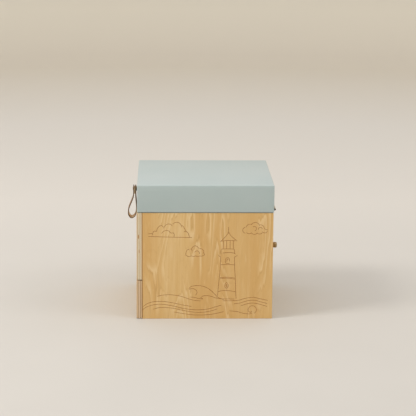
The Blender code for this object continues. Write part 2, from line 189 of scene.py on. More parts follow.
def ply_colour(nodes, depth, along, other, shift, plies, tones):
    """The cut edge of plywood: pale and darker plies by turns, between two thin skins."""
    pale_ply, dark_ply = tones

    def stretch(wide, deep):
        return nodes.vector(nodes.calc("MULTIPLY", along, wide), nodes.calc("MULTIPLY", depth, deep),
                            nodes.calc("MULTIPLY", other, wide))

    spread = nodes.vector(nodes.calc("MULTIPLY", along, 30.0), nodes.calc("MULTIPLY", other, 30.0), shift)
    wave = nodes.noise(spread, detail=1.0)
    layer = nodes.calc("MULTIPLY_ADD", depth, float(plies), nodes.ramp(wave, 0.3, 0.7, -0.08, 0.08))
    place = nodes.calc("FRACT", layer)
    odd = nodes.calc("MODULO", nodes.calc("FLOOR", layer), 2.0)
    grain = nodes.noise(stretch(60.0, 9.0), detail=3.0, roughness=0.6)
    speckle = nodes.noise(stretch(1500.0, 18.0), detail=2.0)
    end = nodes.mix(nodes.ramp(speckle, 0.35, 0.65, 0.0, 0.3), dark_ply, PLY_GLUE)
    colour = nodes.mix(odd, pale_ply, end)
    colour = nodes.mix(nodes.ramp(grain, 0.45, 0.75, 0.0, 0.30), colour, PLY_SKIN)
    glue = nodes.calc("ADD", nodes.ramp(place, 0.10, 0.02), nodes.ramp(place, 0.92, 0.99), clamp=True)
    colour = nodes.mix(nodes.calc("MULTIPLY", glue, 0.35), colour, PLY_GLUE)
    skin = nodes.calc("ADD", nodes.ramp(depth, 0.20, 0.07), nodes.ramp(depth, 0.86, 0.94), clamp=True)
    return nodes.mix(nodes.calc("MULTIPLY", skin, 0.8), colour, PLY_SKIN)


def plywood(name, low, high, grain_axis, shift, plies=7, flecks=(), tones=(PLY_PALE, PLY_END), seam=False):
    """A board's material. Its thin way gets plies at the edges and veneer on the two faces.

    A seam darkens the veneer's rim along the low edge, where glue has soaked in.
    """
    sizes = [b - a for a, b in zip(low, high)]
    thin = sizes.index(min(sizes))
    cross = 3 - thin - grain_axis
    nodes = Nodes(name)
    axes = nodes.axes()
    normal = nodes.add("ShaderNodeSeparateXYZ", Vector=nodes.place.outputs["Normal"]).outputs[thin]
    face, pores = veneer_colour(nodes, axes[cross], axes[grain_axis], shift)
    if seam:
        rim = nodes.ramp(axes[cross], low[cross] + 0.0020, low[cross] + 0.0006, 0.0, 0.7)
        face = nodes.mix(rim, face, shade(178, 122, 62))
    depth = nodes.ramp(axes[thin], low[thin], high[thin])
    edge = ply_colour(nodes, depth, axes[grain_axis], axes[cross], shift, plies, tones)
    for height, across, length, width in flecks:
        tall = nodes.calc("DIVIDE", nodes.calc("SUBTRACT", axes[grain_axis], height), length)
        wide = nodes.calc("DIVIDE", nodes.calc("SUBTRACT", axes[thin], across), width)
        away = nodes.calc("MULTIPLY_ADD", tall, tall, nodes.calc("MULTIPLY", wide, wide))
        edge = nodes.mix(nodes.ramp(away, 1.3, 0.5, 0.0, 0.9), edge, shade(176, 120, 58))
    share = nodes.ramp(nodes.calc("ABSOLUTE", normal), 0.62, 0.80)
    colour = nodes.mix(share, edge, face)
    rough = nodes.ramp(pores, 0.3, 0.8, 0.42, 0.58)
    normal_out = nodes.bump(pores, 0.00006, 0.5)
    return nodes.finish(colour, rough, normal=normal_out, Coat_Weight=0.12, Coat_Roughness=0.35,
                        Specular_IOR_Level=0.4)


def groove_material():
    """The bottom of an engraved line, browned by the cutter."""
    nodes = Nodes("engraved_groove")
    x, y, z = nodes.axes()
    drawn_out = nodes.vector(nodes.calc("MULTIPLY", x, 700.0), y, nodes.calc("MULTIPLY", z, 60.0))
    streak = nodes.noise(drawn_out, detail=3.0)
    colour = nodes.mix(nodes.ramp(streak, 0.35, 0.7), shade(178, 114, 50), shade(152, 90, 36))
    return nodes.finish(colour, 0.75, normal=nodes.bump(streak, 0.00008, 0.6))


def paint_material():
    """Satin grey-green paint, rolled on: a fine texture and hardly any change of tone."""
    nodes = Nodes("sage_paint")
    place = nodes.place.outputs["Object"]
    tone = nodes.noise(place, scale=9.0, detail=3.0)
    roller = nodes.noise(place, scale=900.0, detail=2.0, roughness=0.6)
    swell = nodes.noise(place, scale=45.0, detail=2.0)
    colour = nodes.mix(nodes.ramp(tone, 0.3, 0.7), shade(178, 196, 198), shade(183, 199, 201))
    rough = nodes.ramp(roller, 0.3, 0.7, 0.30, 0.42)
    normal = nodes.bump(roller, 0.00003, 0.6, below=nodes.bump(swell, 0.00005, 0.4))
    return nodes.finish(colour, rough, normal=normal, Specular_IOR_Level=0.5)


def leather_material(name, dark, light, grain_scale, roughness):
    """Leather with pebbled grain and soft cloudy tone."""
    nodes = Nodes(name)
    place = nodes.place.outputs["Object"]
    pebble = nodes.add("ShaderNodeTexVoronoi", Vector=place, Scale=grain_scale).outputs["Distance"]
    cloud = nodes.noise(place, scale=110.0, detail=3.0)
    fibre = nodes.noise(place, scale=grain_scale * 2.2, detail=3.0)
    colour = nodes.mix(nodes.ramp(cloud, 0.3, 0.7), dark, light)
    colour = nodes.mix(nodes.ramp(pebble, 0.55, 0.9, 0.0, 0.35), colour, dark)
    normal = nodes.bump(pebble, 0.00012, 0.5, below=nodes.bump(fibre, 0.00006, 0.5))
    return nodes.finish(colour, roughness, normal=normal, Sheen_Weight=0.15, Sheen_Roughness=0.5)


def brass_material(name, dark, light, painted_end_shade=0.0):
    """Brass that has darkened: brown in the hollows, brighter where it is handled.

    The faces across Y are darkened by the given share, a painted shade on the ends of the knuckles.
    """
    nodes = Nodes(name)
    place = nodes.place.outputs["Object"]
    patina = nodes.noise(place, scale=260.0, detail=4.0, roughness=0.6)
    cloud = nodes.noise(place, scale=70.0, detail=2.0)
    edge = nodes.add("ShaderNodeNewGeometry").outputs["Pointiness"]
    worn = nodes.ramp(edge, 0.50, 0.56)
    colour = nodes.mix(nodes.ramp(patina, 0.35, 0.7), dark, light)
    colour = nodes.mix(nodes.ramp(cloud, 0.5, 0.8, 0.0, 0.5), colour, shade(88, 66, 42))
    colour = nodes.mix(nodes.calc("MULTIPLY", worn, 0.6), colour, shade(206, 182, 134))
    if painted_end_shade:
        # Painted shade: the faces across Y, the knuckles' ends, are darkened.
        side = nodes.add("ShaderNodeSeparateXYZ", Vector=nodes.place.outputs["Normal"]).outputs[1]
        ends = nodes.ramp(nodes.calc("ABSOLUTE", side), 0.6, 0.9, 0.0, painted_end_shade)
        colour = nodes.mix(ends, colour, shade(24, 19, 12))
    rough = nodes.ramp(patina, 0.3, 0.75, 0.30, 0.48)
    return nodes.finish(colour, rough, metallic=1.0, normal=nodes.bump(patina, 0.00002, 0.4))


def rubber_material():
    nodes = Nodes("bumper_rubber")
    speck = nodes.noise(nodes.place.outputs["Object"], scale=1200.0, detail=2.0)
    colour = nodes.mix(nodes.ramp(speck, 0.3, 0.7), shade(205, 204, 198), shade(216, 215, 210))
    return nodes.finish(colour, 0.5, normal=nodes.bump(speck, 0.00002, 0.4), Subsurface_Weight=0.1)


def dowel_material():
    nodes = Nodes("dowel_wood")
    x, y, z = nodes.axes()
    fibre = nodes.noise(nodes.vector(nodes.calc("MULTIPLY", x, 700.0), nodes.calc("MULTIPLY", y, 700.0),
                                     nodes.calc("MULTIPLY", z, 700.0)), detail=2.0)
    colour = nodes.mix(nodes.ramp(fibre, 0.3, 0.7), shade(200, 164, 122), shade(216, 184, 144))
    return nodes.finish(colour, 0.65, normal=nodes.bump(fibre, 0.00004, 0.4))


# ---------------------------------------------------------------- mesh helpers

def make_piece(name, shape, materials, smooth=None):
    """An object made of a bmesh, in the scene, with its materials in slot order."""
    bmesh.ops.recalc_face_normals(shape, faces=shape.faces)
    mesh = bpy.data.meshes.new(name)
    shape.to_mesh(mesh)
    shape.free()
    for material in materials:
        mesh.materials.append(material)
    if smooth is not None:
        mesh.shade_smooth()
        mesh.set_sharp_from_angle(angle=math.radians(smooth))
    piece = bpy.data.objects.new(name, mesh)
    bpy.context.scene.collection.objects.link(piece)
    return piece


def stand_for(piece, body, slot, *nodes):
    """Puts a finished piece on its body, in place of CAD nodes."""
    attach(piece, body)
    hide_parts(*nodes)
    return piece


def box_shape(low, high):
    shape = bmesh.new()
    bmesh.ops.create_cube(shape, size=1.0)
    low, high = Vector(low), Vector(high)
    bmesh.ops.scale(shape, vec=high - low, verts=shape.verts)
    bmesh.ops.translate(shape, vec=(low + high) / 2, verts=shape.verts)
    return shape


def round_edges(shape, edges, width, segments=3):
    bmesh.ops.bevel(shape, geom=list(edges), offset=width, segments=segments, profile=0.5, affect="EDGES",
                    clamp_overlap=True)


def apply_boolean(piece, other, operation="DIFFERENCE", self_crossing=False):
    """Applies a Boolean of another object, and removes that object."""
    change = piece.modifiers.new("cut", "BOOLEAN")
    change.operation = operation
    change.solver = "EXACT"
    change.use_self = self_crossing
    change.material_mode = "TRANSFER"
    change.object = other
    apply_modifiers(piece)
    bpy.data.objects.remove(other, do_unlink=True)


def apply_modifiers(piece):
    graph = bpy.context.evaluated_depsgraph_get()
    graph.update()
    done = bpy.data.meshes.new_from_object(piece.evaluated_get(graph), depsgraph=graph)
    piece.modifiers.clear()
    piece.data = done


def drop_slivers(piece):
    """Dissolves the faces and edges of no size that a Boolean leaves where it cuts close to a corner."""
    shape = bmesh.new()
    shape.from_mesh(piece.data)
    bmesh.ops.dissolve_degenerate(shape, dist=0.000002, edges=shape.edges[:])
    shape.to_mesh(piece.data)
    shape.free()


def arc(x, z, radius, start, end, step=14.0):
    """Points along an arc about (x, z), from one angle to another, in degrees."""
    count = max(3, int(abs(end - start) / step) + 1)
    angles = [math.radians(start + (end - start) * i / count) for i in range(count + 1)]
    return [Vector((x + radius * math.cos(a), z + radius * math.sin(a))) for a in angles]


def smooth_line(points, steps=5):
    """A smooth curve (Catmull-Rom) through points."""
    knots = [Vector(p) for p in points]
    knots = [2 * knots[0] - knots[1]] + knots + [2 * knots[-1] - knots[-2]]
    curve = []
    for a, b, c, d in zip(knots, knots[1:], knots[2:], knots[3:]):
        for step in range(steps):
            t = step / steps
            curve.append(0.5 * (2 * b + (c - a) * t + (2 * a - 5 * b + 4 * c - d) * t ** 2
                                + (3 * b - a - 3 * c + d) * t ** 3))
    curve.append(knots[-2])
    return curve


# ---------------------------------------------------------------- the engraved scene

GROOVE_WIDTH = 1.0  # millimetres, as is all of the drawing
GROOVE_DEPTH = 0.45


def cloud_strokes():
    """Three clouds: a big one on a flat base, a small one and a long one."""
    big = [
        [(26, 187.3), (68, 186), (121.5, 185)], [(25, 193), (34, 194), (35.4, 190)],
        [(35.5, 194.5), (37, 198), (40, 199.4), (43.6, 198.6)],
        [(43.8, 198.6), (45.6, 205), (49.6, 210), (54, 211.8), (58.6, 209)],
        [(59.4, 205.5), (60.4, 209), (65.4, 214), (70.8, 215.4), (75.6, 214), (78, 210.4)],
        [(79, 214.6), (83.4, 218.4), (88.5, 219.3), (93.6, 217.6), (98.6, 212)],
        [(97.6, 208.4), (99, 212), (103, 208.6), (106, 204), (108.4, 198.6)],
        [(104, 198.2), (109.6, 198.2), (113, 194.6), (115.2, 188.6), (115.8, 185.4)],
        [(55, 193.8), (57.4, 197.4), (61.6, 200), (66.6, 200.8), (71.6, 199), (75.2, 194.4)],
        [(75.4, 194.6), (80.6, 195.4), (82.4, 191), (81.8, 185.8)],
    ]
    small = [
        [(115.4, 159), (110.8, 156.3), (108.6, 150.4), (108, 145.8), (111, 143)],
        [(119.4, 158.6), (123.3, 163.4), (128.3, 166.3), (133.6, 164), (137.4, 159.8)],
        [(118.6, 158.8), (121, 157.6), (121.8, 154.6)],
        [(138.6, 160.2), (143.4, 158.9), (147, 155), (147.4, 150), (149.2, 146.6), (146.6, 143.9)],
        [(111, 143), (116, 142.2), (120.4, 143.6)], [(120.4, 143.6), (125, 142), (129.4, 143.6)],
        [(129.4, 143.6), (134, 142), (138.4, 143.4)], [(138.4, 143.4), (142.6, 142.8), (146.6, 143.9)],
        [(127.4, 151.4), (129.8, 154), (133.6, 154.6), (137, 152.4), (138.4, 147.8)],
    ]
    long = [
        arc(239.5, 201.5, 6.8, 104, 262), arc(248.5, 207, 8.2, 60, 172), arc(260, 209, 10, 14, 146),
        arc(272, 206, 7.6, 2, 100), smooth_line([(279.5, 206), (283, 203.2), (288, 202.2)]),
        arc(247, 201, 7.5, 218, 320), arc(258.5, 199.6, 7.6, 216, 322), arc(270, 200.2, 7.4, 218, 322),
        arc(281, 202, 6.6, 214, 338), arc(258, 205, 5, -72, 128), arc(271.5, 203.6, 4.4, 10, 190),
    ]
    return [smooth_line(points) for points in big + small] + long


def lighthouse_strokes():
    """A plain lighthouse: finial, roof, lamp room, gallery, and a tapered tower with bands and windows."""
    roof = [
        [(201.6, 208.6), (201.6, 203), (201.6, 197.4)],
        [(200, 193.8), (196.4, 188.4), (191.6, 183.2), (184, 175.4)],
        [(203.6, 193.8), (207.6, 188.4), (212.6, 183.8), (220.4, 177)],
        [(186, 176.8), (201.5, 178.4), (217, 177.6)],
    ]
    lamp_room = [[(x, 160), (x, 168), (x, 177.4)] for x in (190.6, 197.4, 205.4, 212.4)]
    lamp_room.append([(186.8, 159), (201, 159.4), (214, 158.8)])
    gallery = [
        [(185.8, 158.4), (185.2, 153), (185.4, 147.6)], [(214.8, 158.4), (215.4, 153), (215.4, 148.6)],
        [(189.4, 150), (202, 151), (212, 150.2), (218, 147.6)],
        [(180.6, 145.6), (181.6, 143), (184.4, 141.6), (184.8, 138.6)],
        [(221.8, 145.2), (219.6, 143), (216, 141.4), (215.2, 138)],
    ]
    walls = [[(184.8, 139), (184.2, 121.6), (183.2, 105), (180.8, 79), (178.4, 52)],
             [(215.3, 138.4), (216, 112.2), (217.8, 88.4), (218.9, 58.8), (220, 46)]]
    bands = [
        [(185.4, 123.4), (200, 123.8), (214.6, 123.2)], [(184, 94.2), (200, 95), (216.6, 93.2)],
        [(184, 92), (200, 92.6), (217, 90.6)], [(179.8, 61.6), (188, 64.2), (202, 64.4), (218.2, 61.8)],
        [(190, 45.4), (203, 45.2), (216, 45)], [(190.4, 41.2), (203, 41), (215, 41)],
    ]
    windows = [
        [(195.6, 127), (195.6, 135.4), (198, 139), (202, 139), (204.4, 135.4), (204.4, 131)],
        [(204.4, 126.6), (200, 126.2), (195.6, 127)],
        [(198.6, 130.6), (198.8, 135), (200.4, 136.2), (201.6, 135)],
        [(198.2, 83.4), (194.8, 78), (195, 72.6), (198.2, 70), (201.6, 72.6), (201.8, 78), (198.2, 83.4)],
        [(198.2, 79), (197.2, 75.6), (198.4, 73.4), (199.4, 75.6), (198.2, 79)],
    ]
    drawn = roof + lamp_room + gallery + walls + bands + windows
    return [smooth_line(points) for points in drawn] + [arc(201.7, 195.4, 1.3, 0, 360)]


def wave_strokes():
    """Long swells, one breaking crest, and a small curl at the right."""
    swells = [
        [(45, 51.4), (58, 54.2), (75, 55), (95, 52), (115, 45.6), (128, 42), (141, 40.8)],
        [(14, 28), (24, 35), (38, 39), (58, 39.6), (80, 36.4), (100, 31.8), (121, 28)],
        [(12, 20), (22, 27), (36, 31.6), (55, 33.2), (80, 29.4), (105, 23.4), (130, 20.4), (155, 21.8),
         (172, 26.4), (187, 31)],
        [(36, 21.6), (48, 25), (62, 25.8), (82, 23.6), (105, 18.4), (130, 14.8), (150, 15), (165, 18),
         (178, 22.2)],
        [(82, 15.6), (100, 12.2), (125, 8.8), (150, 8.6), (172, 11.2), (192, 16)],
        [(212, 41.4), (225, 42.2), (241, 46.8), (258, 48.6), (275, 45.2), (290, 41.8)],
        [(215, 34), (230, 36.4), (245, 41), (260, 42.2), (275, 38.4), (289, 34.6)],
        [(231, 29.8), (245, 34.2), (258, 35.8), (273, 32.8), (289, 28)],
    ]
    crest = [
        [(115, 69), (121, 73.8), (134, 76), (150, 73.2), (163, 65.4), (173, 55.6), (181, 48.2), (192, 44.2)],
        [(115.6, 67.6), (124, 69), (131, 65.4), (133.4, 59.4), (130, 53.4)],
        [(119, 49.6), (127, 49), (137, 46.2), (146, 45.4), (141, 49)],
        [(143, 50.8), (152, 53.2), (163, 51.6), (175, 47.6), (186, 45.6)],
    ]
    curl = [smooth_line([(205, 17.8), (222, 16.2), (238, 11.8), (250, 10.8), (255, 12.6)]),
            arc(256, 20.4, 9.2, 196, -62), arc(251.4, 19.2, 4.4, 200, 330)]
    return [smooth_line(points) for points in swells + crest] + curl


def groove_shape(strokes, origin, face):
    """Round-bottomed cutters that follow the strokes, centred on the face of the panel."""
    shape = bmesh.new()
    sides = 8
    for line in strokes:
        rings = []
        for i, point in enumerate(line):
            ahead = (line[min(i + 1, len(line) - 1)] - line[max(i - 1, 0)]).normalized()
            side = Vector((-ahead.y, 0, ahead.x))
            centre = Vector((origin + point.x * MM, face, point.y * MM))
            ring = []
            for k in range(sides):
                turn = math.tau * (k + 0.5) / sides
                inward = Vector((0, math.sin(turn) * GROOVE_DEPTH, 0))
                reach = side * math.cos(turn) * GROOVE_WIDTH / 2 + inward
                ring.append(shape.verts.new(centre + reach * MM))
            rings.append(ring)
        for ring, after in zip(rings, rings[1:]):
            for k in range(sides):
                shape.faces.new((ring[k], ring[(k + 1) % sides], after[(k + 1) % sides], after[k]))
        shape.faces.new(rings[0])
        shape.faces.new(rings[-1])
    return shape


def make_engraved_side():
    low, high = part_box("side_panel_engraved")
    wood = plywood("birch_engraved_side", low, high, 2, 1.3, seam=True)
    groove = groove_material()
    shape = box_shape(low, high)
    round_edges(shape, shape.edges, 0.0007)
    panel = make_piece("engraved_side", shape, [wood])
    strokes = cloud_strokes() + lighthouse_strokes() + wave_strokes()
    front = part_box("upper_front_panel")[0][0]
    cutter = make_piece("engraving", groove_shape(strokes, front, low[1]), [groove])
    apply_boolean(panel, cutter, self_crossing=True)
    return stand_for(panel, "box", "birch_plywood", "side_panel_engraved")


# ---------------------------------------------------------------- the boards

def finish_boards():
    """Plywood for the CAD boards that keep their shape."""
    boards = [
        ("side_panel_plain", 2, 4.1, 7, ()), ("back_panel", 2, 9.7, 7, ()), ("bottom_panel", 0, 13.2, 7, ()),
        ("compartment_floor", 0, 17.9, 5, ()), ("drawer_side_engraved", 0, 21.3, 5, ()),
        ("drawer_side_plain", 0, 24.8, 5, ()), ("drawer_back", 1, 28.4, 5, ()),
        ("drawer_bottom", 0, 31.6, 3, ()),
    ]
    low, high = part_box("upper_front_panel")
    flecks = ((0.1865, low[0] + 0.0042, 0.0052, 0.0011), (0.1535, low[0] + 0.0056, 0.0048, 0.0010))
    boards.append(("upper_front_panel", 2, 35.5, 7, flecks))
    for node, grain, shift, plies, marks in boards:
        material = plywood("ply_" + node, *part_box(node), grain, shift, plies, marks)
        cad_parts[node].material_slots[0].material = material


def make_drawer_front():
    """The drawer's front, with its finger notch eased all round."""
    low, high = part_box("drawer_front")
    radius, fillet, steps = 0.016, 0.003, 24
    outline = [(low[1], low[2]), (high[1], low[2]), (high[1], high[2])]
    reach = math.sqrt((radius + fillet) ** 2 - fillet ** 2)
    lift = math.degrees(math.atan2(fillet, reach))
    outline += [tuple(p) for p in arc(reach, high[2] - fillet, fillet, 90, 180 - lift, 15)]
    outline += [tuple(p) for p in arc(0, high[2], radius, -lift, -180 + lift, 180 / steps)][1:]
    outline += [tuple(p) for p in arc(-reach, high[2] - fillet, fillet, lift, 90, 15)][1:]
    outline.append((low[1], high[2]))
    shape = bmesh.new()
    face = shape.faces.new([shape.verts.new((low[0], y, z)) for y, z in outline])
    grown = bmesh.ops.extrude_face_region(shape, geom=[face])
    moved = [item for item in grown["geom"] if isinstance(item, bmesh.types.BMVert)]
    bmesh.ops.translate(shape, vec=(high[0] - low[0], 0, 0), verts=moved)
    rims = [e for e in shape.edges if abs(e.verts[0].co.x - e.verts[1].co.x) < 1e-6]
    round_edges(shape, rims, 0.0008)
    wood = plywood("ply_drawer_front", low, high, 2, 38.2, 5, tones=(PLY_PALE_WARM, PLY_END_WARM))
    piece = make_piece("drawer_front_board", shape, [wood], smooth=30)
    return stand_for(piece, "drawer", "drawer_plywood", "drawer_front")


# ---------------------------------------------------------------- the lid

LID_EDGE = 0.0022  # rounding of the lid's top and upright edges
LID_FOOT_EDGE = 0.0008
LID_NODES = ("lid_top", "lid_front_rail", "lid_back_rail", "lid_side_rail_engraved", "lid_side_rail_plain")


def make_lid():
    """The lid's five boards, cut from one rounded block so that the filled and painted joints don't show."""
    paint = paint_material()
    low = Vector([min(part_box(n)[0][i] for n in LID_NODES) for i in range(3)])
    high = Vector([max(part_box(n)[1][i] for n in LID_NODES) for i in range(3)])
    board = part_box("lid_front_rail")[1][0] - low.x
    inner_low, inner_high = low + Vector((board,) * 3), high - Vector((board,) * 3)
    block = box_shape(low, high)
    round_edges(block, [e for e in block.edges if max(v.co.z for v in e.verts) > high.z - 0.01], LID_EDGE, 5)
    foot = [e for e in block.edges if max(v.co.z for v in e.verts) < low.z + 1e-5]
    round_edges(block, foot, LID_FOOT_EDGE, 3)
    up, right, far = Vector((0, 0, 1)), Vector((1, 0, 0)), Vector((0, 1, 0))
    between = [(inner_high, up), (inner_low, -right), (inner_high, right)]
    cuts = {  # planes with what lies beyond them cut away; a rail's inner face comes last
        "lid_top": [(inner_high, -up)],
        "lid_front_rail": [(inner_high, up), (inner_low, right)],
        "lid_back_rail": [(inner_high, up), (inner_high, -right)],
        "lid_side_rail_engraved": between + [(inner_low, far)],
        "lid_side_rail_plain": between + [(inner_high, -far)],
    }
    for node, planes in cuts.items():
        part = block.copy()
        for point, outward in planes:
            geometry = part.verts[:] + part.edges[:] + part.faces[:]
            found = bmesh.ops.bisect_plane(
                part, geom=geometry, plane_co=point, plane_no=outward, clear_outer=True)
            rim = [item for item in found["geom_cut"] if isinstance(item, bmesh.types.BMEdge)]
            bmesh.ops.contextual_create(part, geom=rim)
        if node != "lid_top":
            foot = [e for e in part.edges if all(
                v.co.z < low.z + 1e-5 and abs((v.co - point).dot(outward)) < 1e-5 for v in e.verts)]
            round_edges(part, foot, LID_FOOT_EDGE)
        piece = make_piece("painted_" + node, part, [paint], smooth=35)
        stand_for(piece, "lid", "sage_paint", node)
    block.free()


# ---------------------------------------------------------------- leather loop

STRAP = 0.0021
STRAP_END = 0.2725
STRAP_ROUND = 0.0130  # radius of the corners of both ends
FILLER_SHORT = 0.0035  # of the strap's ends, all round


def loop_route(face):
    """The middle of the leather between its round ends, from beside the lid down, round and up outside."""
    inner, outer = face - 0.0052, face - 0.0096
    return [
        (inner, STRAP_END - STRAP_ROUND), (inner, 0.2540), (inner + 0.0003, 0.2456),
        (inner + 0.0009, 0.2388), (inner + 0.0016, 0.2306), (inner + 0.0021, 0.2230),
        (inner + 0.0018, 0.2160), (inner + 0.0008, 0.2100), (inner - 0.0010, 0.2046),
        (inner - 0.0042, 0.2004), (inner - 0.0092, 0.1984), (inner - 0.0135, 0.2010),
        (inner - 0.0160, 0.2060), (outer - 0.0122, 0.2120), (outer - 0.0112, 0.2195),
        (outer - 0.0082, 0.2280), (outer - 0.0048, 0.2360), (outer - 0.0018, 0.2442),
        (outer - 0.0002, 0.2520), (outer, STRAP_END - STRAP_ROUND),
    ]


def make_loop(edge, grain, flesh):
    """The strap: dark rounded edges, grain outside and the raw flesh side within."""
    low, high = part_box("leather_loop")
    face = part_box("lid_front_rail")[0][0]
    middle = [(p, 0.0) for p in smooth_line(loop_route(face), 7)]
    half, thick, corner = (high[1] - low[1]) / 2, STRAP / 2, STRAP * 0.42
    turns = [math.radians(9 * i) for i in range(1, 11)]
    round_end = [(Vector((0, STRAP_ROUND * math.sin(t))), STRAP_ROUND * (1 - math.cos(t))) for t in turns]
    first, last = middle[0][0], middle[-1][0]
    middle = ([(first + rise, narrow) for rise, narrow in reversed(round_end)] + middle
              + [(last + rise, narrow) for rise, narrow in round_end])
    section = []
    for y_sign, n_sign, start in ((1, 1, 0), (-1, 1, 90), (-1, -1, 180), (1, -1, 270)):
        bend = arc(y_sign * (half - corner), n_sign * (thick - corner), corner, start, start + 90, 30)
        section += [tuple(p) for p in bend]
    shape = bmesh.new()
    rings = []
    for i, (point, narrow) in enumerate(middle):
        ahead = (middle[min(i + 1, len(middle) - 1)][0] - middle[max(i - 1, 0)][0]).normalized()
        across = Vector((ahead.y, 0, -ahead.x))
        centre = Vector((point.x, 0, point.y))
        rings.append([shape.verts.new(centre + Vector((0, y - math.copysign(narrow, y), 0)) + across * n)
                      for y, n in section])
    count = len(section)
    for ring, after in zip(rings, rings[1:]):
        for k in range(count):
            quad = shape.faces.new((ring[k], ring[(k + 1) % count], after[(k + 1) % count], after[k]))
            y = (section[k][0] + section[(k + 1) % count][0]) / 2
            n = (section[k][1] + section[(k + 1) % count][1]) / 2
            quad.material_index = 0 if abs(y) > half - corner * 1.01 else (2 if n > 0 else 1)
    for ring in (rings[0], rings[-1]):
        shape.faces.new(ring).material_index = 0
    piece = make_piece("leather_strap", shape, [edge, grain, flesh], smooth=50)
    return stand_for(piece, "loop", "leather", "leather_loop")


def make_filler(raw):
    """The piece of raw leather between the strap's two ends, coloured as a darker copy of the flesh side for
    painted shade. It stops a little short of them.
    """
    low, high = (Vector(v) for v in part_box("loop_filler"))
    high.z = STRAP_END - FILLER_SHORT
    shape = box_shape(low, high)
    upper = [e for e in shape.edges if abs(e.verts[0].co.x - e.verts[1].co.x) > 1e-4
             and e.verts[0].co.z > high.z - 1e-5]
    round_edges(shape, upper, STRAP_ROUND - FILLER_SHORT, 12)
    piece = make_piece("leather_filler", shape, [raw], smooth=40)
    return stand_for(piece, "loop", "raw_leather", "loop_filler")


# ---------------------------------------------------------------- brass

# Hinges
BARREL_RADIUS = 0.0024
LEAF = 0.0011  # thickness
LEAF_START = 0.0027  # from the pin's axis to the near edge
LEAF_END = 0.0128  # from the pin's axis to the far edge
LEAF_CORNER = 0.0022


def turned_piece(name, profile, start, material, direction=1, sides=48):
    """A profile of (height, radius) points turned about an axis along X."""
    shape = bmesh.new()
    points = [shape.verts.new((h, r, 0)) for h, r in profile]
    edges = [shape.edges.new(pair) for pair in zip(points, points[1:])]
    bmesh.ops.spin(shape, geom=points + edges, cent=(0, 0, 0), axis=(1, 0, 0), angle=math.tau, steps=sides)
    bmesh.ops.remove_doubles(shape, verts=shape.verts, dist=0.000005)
    bmesh.ops.scale(shape, vec=(direction, 1, 1), verts=shape.verts)
    bmesh.ops.translate(shape, vec=start, verts=shape.verts)
    return make_piece(name, shape, [material], smooth=35)


def rounded_profile(points, corner=0.00025):
    """A turned profile with its corners cut back a little, apart from its two ends."""
    knots = [Vector(p) for p in points]
    result = [knots[0]]
    for before, here, after in zip(knots, knots[1:], knots[2:]):
        back, on = (before - here), (after - here)
        cut = min(corner, back.length / 3, on.length / 3)
        back, on = back.normalized() * cut, on.normalized() * cut
        result += [here + back, here + back * 0.3 + on * 0.3, here + on]
    result.append(knots[-1])
    return [tuple(p) for p in result]


def cut_cross(piece, centre, size, depth, direction, material, arms=2):
    """A cross or a slot sunk in a screw's head."""
    for arm in range(arms):
        long, short = (size, size * 0.24) if arm == 0 else (size * 0.24, size)
        centre_x = centre.x + direction * depth / 2
        shape = box_shape((centre_x - depth / 2, centre.y - long, centre.z - short),
                          (centre_x + depth / 2, centre.y + long, centre.z + short))
        apply_boolean(piece, make_piece("recess", shape, [material]))


def make_screw(node, body, head, length, shank, head_radius, dome, direction, brass, arms=2):
    """A domed screw along X. direction is the way its point goes."""
    profile = [(-dome, 0), (-dome * 0.93, head_radius * 0.45), (-dome * 0.62, head_radius * 0.80),
               (-dome * 0.18, head_radius * 0.98), (0, head_radius), (0, shank), (length - shank, shank),
               (length, 0)]
    piece = turned_piece(node + "_turned", profile, head, brass, direction, 40)
    top = Vector((head[0] - direction * dome * 1.2, head[1], head[2]))
    cut_cross(piece, top, head_radius * 0.52, dome * 0.9, direction, brass, arms)
    return stand_for(piece, body, "antique_brass", node)


def centre_of(node):
    low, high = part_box(node)
    return (Vector(low) + Vector(high)) / 2


